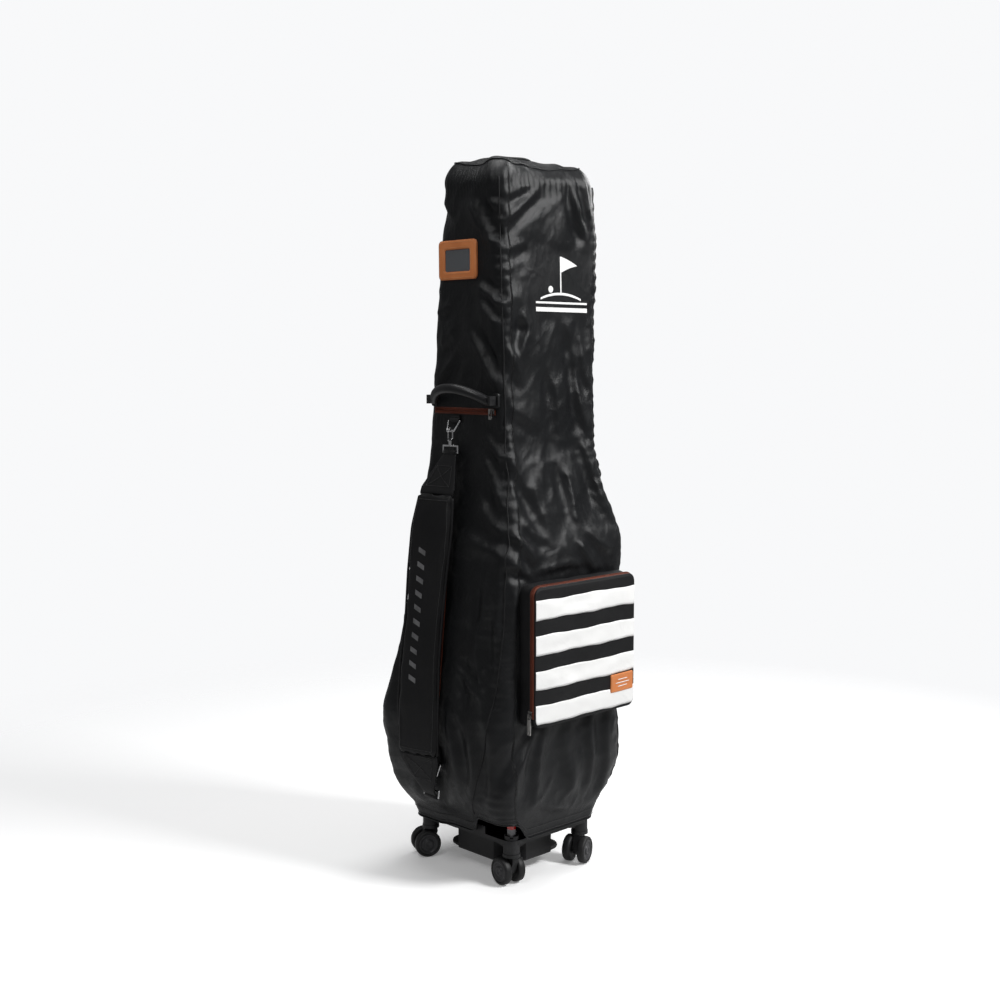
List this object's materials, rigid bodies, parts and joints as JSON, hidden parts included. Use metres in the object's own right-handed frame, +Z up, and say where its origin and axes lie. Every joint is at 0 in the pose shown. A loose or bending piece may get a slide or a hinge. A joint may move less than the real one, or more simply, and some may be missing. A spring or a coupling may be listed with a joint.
{
  "type": "golf travel case",
  "caption": "Tall soft golf bag travel cover on a moulded base with swivel casters, shoulder strap, carry handle, front zip pocket and opening rear flap.",
  "frame": {"origin": "centre of the whole part's footprint, on the floor under the caster wheels", "axes": "+Z up the case, -Y out of the pocket face, -X out of the strap face"},
  "size_m": [0.3782, 0.3463, 1.312],
  "materials": {
    "nylon": "soft sheen",
    "strap_nylon": "padded weave",
    "white_web": "matte webbing",
    "rust_tape": "matte tape",
    "black_web": "webbing",
    "tan_leather": "smooth",
    "window": "clear vinyl",
    "base_black": "fine texture",
    "wheel_grey": "satin",
    "grip_black": "gloss",
    "stem_grey": "satin",
    "cap_red": "gloss",
    "silver": "polished",
    "steel": "satin",
    "foam": "foam"
  },
  "bodies": {
    "case": {"front_panel": "nylon", "left_panel": "nylon", "right_panel": "nylon", "rear_border": "nylon", "top_panel": "nylon", "top_band": "nylon", "hem_snaps": "silver", "base_screws": "steel", "base_tray": "base_black", "base_frame": "base_black", "floor_pad": "foam", "lock_spring": "steel", "pocket_gusset": "nylon", "pocket_zipper": "rust_tape", "handle_mounts": "base_black", "id_frame": "tan_leather", "id_window": "window", "slot_zipper": "rust_tape", "side_zipper": "rust_tape", "rear_zipper": "black_web", "strap_rings": "silver", "ring_tabs": "black_web"},
    "caster_fl": {"caster_fl_fork": "base_black", "caster_fl_pins": "steel"},
    "caster_fl_wheel_a": {"caster_fl_wheel_a": "wheel_grey"},
    "caster_fl_wheel_b": {"caster_fl_wheel_b": "wheel_grey"},
    "caster_fr": {"caster_fr_fork": "base_black", "caster_fr_pins": "steel"},
    "caster_fr_wheel_a": {"caster_fr_wheel_a": "wheel_grey"},
    "caster_fr_wheel_b": {"caster_fr_wheel_b": "wheel_grey"},
    "caster_rl": {"caster_rl_fork": "base_black", "caster_rl_pins": "steel"},
    "caster_rl_wheel_a": {"caster_rl_wheel_a": "wheel_grey"},
    "caster_rl_wheel_b": {"caster_rl_wheel_b": "wheel_grey"},
    "caster_rr": {"caster_rr_fork": "base_black", "caster_rr_pins": "steel"},
    "caster_rr_wheel_a": {"caster_rr_wheel_a": "wheel_grey"},
    "caster_rr_wheel_b": {"caster_rr_wheel_b": "wheel_grey"},
    "lock_knob": {"lock_stem": "stem_grey", "lock_cap": "cap_red"},
    "handle": {"handle_grip": "grip_black"},
    "pocket_flap": {"pocket_panel": "nylon", "pocket_stripes": "white_web", "pocket_label": "tan_leather"},
    "rear_door": {"rear_flap": "nylon"},
    "strap": {"strap_pad": "strap_nylon", "strap_tabs": "strap_nylon", "upper_hook": "silver", "lower_hook": "silver"},
    "upper_gate": {"upper_gate": "silver"},
    "lower_gate": {"lower_gate": "silver"},
    "slot_slider": {"slot_slider": "silver"},
    "slot_pull": {"slot_pull": "silver"},
    "side_slider": {"side_slider": "silver"},
    "side_pull": {"side_pull": "silver"},
    "rear_slider": {"rear_slider": "silver"},
    "rear_pull": {"rear_pull": "silver"},
    "pocket_slider": {"pocket_slider": "silver"},
    "pocket_pull": {"pocket_pull": "silver"}
  },
  "joints": [
    {"name": "caster_fl_swivel", "type": "hinge", "parent": "case", "child": "caster_fl", "pos_m": [-0.0775, -0.095, 0.055], "axis": [0, 0, 1], "continuous": true},
    {"name": "caster_fl_wheel_a_spin", "type": "hinge", "parent": "caster_fl", "child": "caster_fl_wheel_a", "pos_m": [-0.07613, -0.0851, 0.025], "axis": [0.9905, -0.1374, 0], "continuous": true},
    {"name": "caster_fl_wheel_b_spin", "type": "hinge", "parent": "caster_fl", "child": "caster_fl_wheel_b", "pos_m": [-0.07613, -0.0851, 0.025], "axis": [0.9905, -0.1374, 0], "continuous": true},
    {"name": "caster_fr_swivel", "type": "hinge", "parent": "case", "child": "caster_fr", "pos_m": [0.1015, -0.095, 0.055], "axis": [0, 0, 1], "continuous": true},
    {"name": "caster_fr_wheel_a_spin", "type": "hinge", "parent": "caster_fr", "child": "caster_fr_wheel_a", "pos_m": [0.09212, -0.09845, 0.025], "axis": [-0.3453, 0.9385, 0], "continuous": true},
    {"name": "caster_fr_wheel_b_spin", "type": "hinge", "parent": "caster_fr", "child": "caster_fr_wheel_b", "pos_m": [0.09212, -0.09845, 0.025], "axis": [-0.3453, 0.9385, 0], "continuous": true},
    {"name": "caster_rl_swivel", "type": "hinge", "parent": "case", "child": "caster_rl", "pos_m": [-0.0775, 0.125, 0.055], "axis": [0, 0, 1], "continuous": true},
    {"name": "caster_rl_wheel_a_spin", "type": "hinge", "parent": "caster_rl", "child": "caster_rl_wheel_a", "pos_m": [-0.08651, 0.12934, 0.025], "axis": [0.4337, 0.9011, 0], "continuous": true},
    {"name": "caster_rl_wheel_b_spin", "type": "hinge", "parent": "caster_rl", "child": "caster_rl_wheel_b", "pos_m": [-0.08651, 0.12934, 0.025], "axis": [0.4337, 0.9011, 0], "continuous": true},
    {"name": "caster_rr_swivel", "type": "hinge", "parent": "case", "child": "caster_rr", "pos_m": [0.1015, 0.125, 0.055], "axis": [0, 0, 1], "continuous": true},
    {"name": "caster_rr_wheel_a_spin", "type": "hinge", "parent": "caster_rr", "child": "caster_rr_wheel_a", "pos_m": [0.10492, 0.1156, 0.025], "axis": [-0.9397, -0.342, 0], "continuous": true},
    {"name": "caster_rr_wheel_b_spin", "type": "hinge", "parent": "caster_rr", "child": "caster_rr_wheel_b", "pos_m": [0.10492, 0.1156, 0.025], "axis": [-0.9397, -0.342, 0], "continuous": true},
    {"name": "lock_push", "type": "slide", "parent": "case", "child": "lock_knob", "axis": [0, 0, -1], "range_m": [0, 0.0035], "stiffness_N_per_m": 300, "springref_m": -0.002, "deforming": ["lock_spring"]},
    {"name": "handle_swing", "type": "hinge", "parent": "case", "child": "handle", "pos_m": [-0.1065, 0.0065, 0.868], "axis": [0, 1, 0], "range_deg": [-65, 50]},
    {"name": "pocket_open", "type": "hinge", "parent": "case", "child": "pocket_flap", "pos_m": [0.0355, -0.1688, 0.303], "axis": [1, 0, 0], "range_deg": [0, 100]},
    {"name": "rear_open", "type": "hinge", "parent": "case", "child": "rear_door", "pos_m": [0.175, 0.173, 0.7], "axis": [0, 0, -1], "range_deg": [0, 105]},
    {"name": "strap_swing", "type": "hinge", "parent": "case", "child": "strap", "pos_m": [-0.152, 0.031, 0.19], "axis": [0.0706, 0, 0.9975], "range_deg": [-20, 10]},
    {"name": "upper_gate_press", "type": "hinge", "parent": "strap", "child": "upper_gate", "pos_m": [-0.1134, 0.031, 0.7984], "axis": [0, 1, 0], "range_deg": [0, 22], "stiffness_Nm_per_rad": 0.02, "springref_deg": -17.19},
    {"name": "lower_gate_press", "type": "hinge", "parent": "strap", "child": "lower_gate", "pos_m": [-0.15924, 0.031, 0.17728], "axis": [0, 1, 0], "range_deg": [0, 22], "stiffness_Nm_per_rad": 0.02, "springref_deg": -17.19},
    {"name": "slot_slide", "type": "slide", "parent": "case", "child": "slot_slider", "axis": [0, 1, 0], "range_m": [0, 0.135]},
    {"name": "slot_pull_swing", "type": "hinge", "parent": "slot_slider", "child": "slot_pull", "pos_m": [-0.10095, -0.065, 0.849], "axis": [0, 1, 0], "range_deg": [0, 118]},
    {"name": "side_slide", "type": "slide", "parent": "case", "child": "side_slider", "axis": [0.0905, 0, 0.9959], "range_m": [-0.11, 0.13]},
    {"name": "side_pull_swing", "type": "hinge", "parent": "side_slider", "child": "side_pull", "pos_m": [-0.14141, 0.027, 0.44537], "axis": [0, 1, 0], "range_deg": [0, 22]},
    {"name": "rear_slide", "type": "slide", "parent": "case", "child": "rear_slider", "axis": [0, -0.0995, 0.995], "range_m": [0, 0.73]},
    {"name": "rear_pull_swing", "type": "hinge", "parent": "rear_slider", "child": "rear_pull", "pos_m": [-0.0626, 0.15168, 0.46041], "axis": [1, 0, 0], "range_deg": [0, 165]},
    {"name": "pocket_slide", "type": "slide", "parent": "case", "child": "pocket_slider", "axis": [0, 0, 1], "range_m": [0, 0.19]},
    {"name": "pocket_pull_swing", "type": "hinge", "parent": "pocket_slider", "child": "pocket_pull", "pos_m": [-0.0983, -0.1595, 0.326], "axis": [0, 1, 0], "range_deg": [0, 165]}
  ]
}
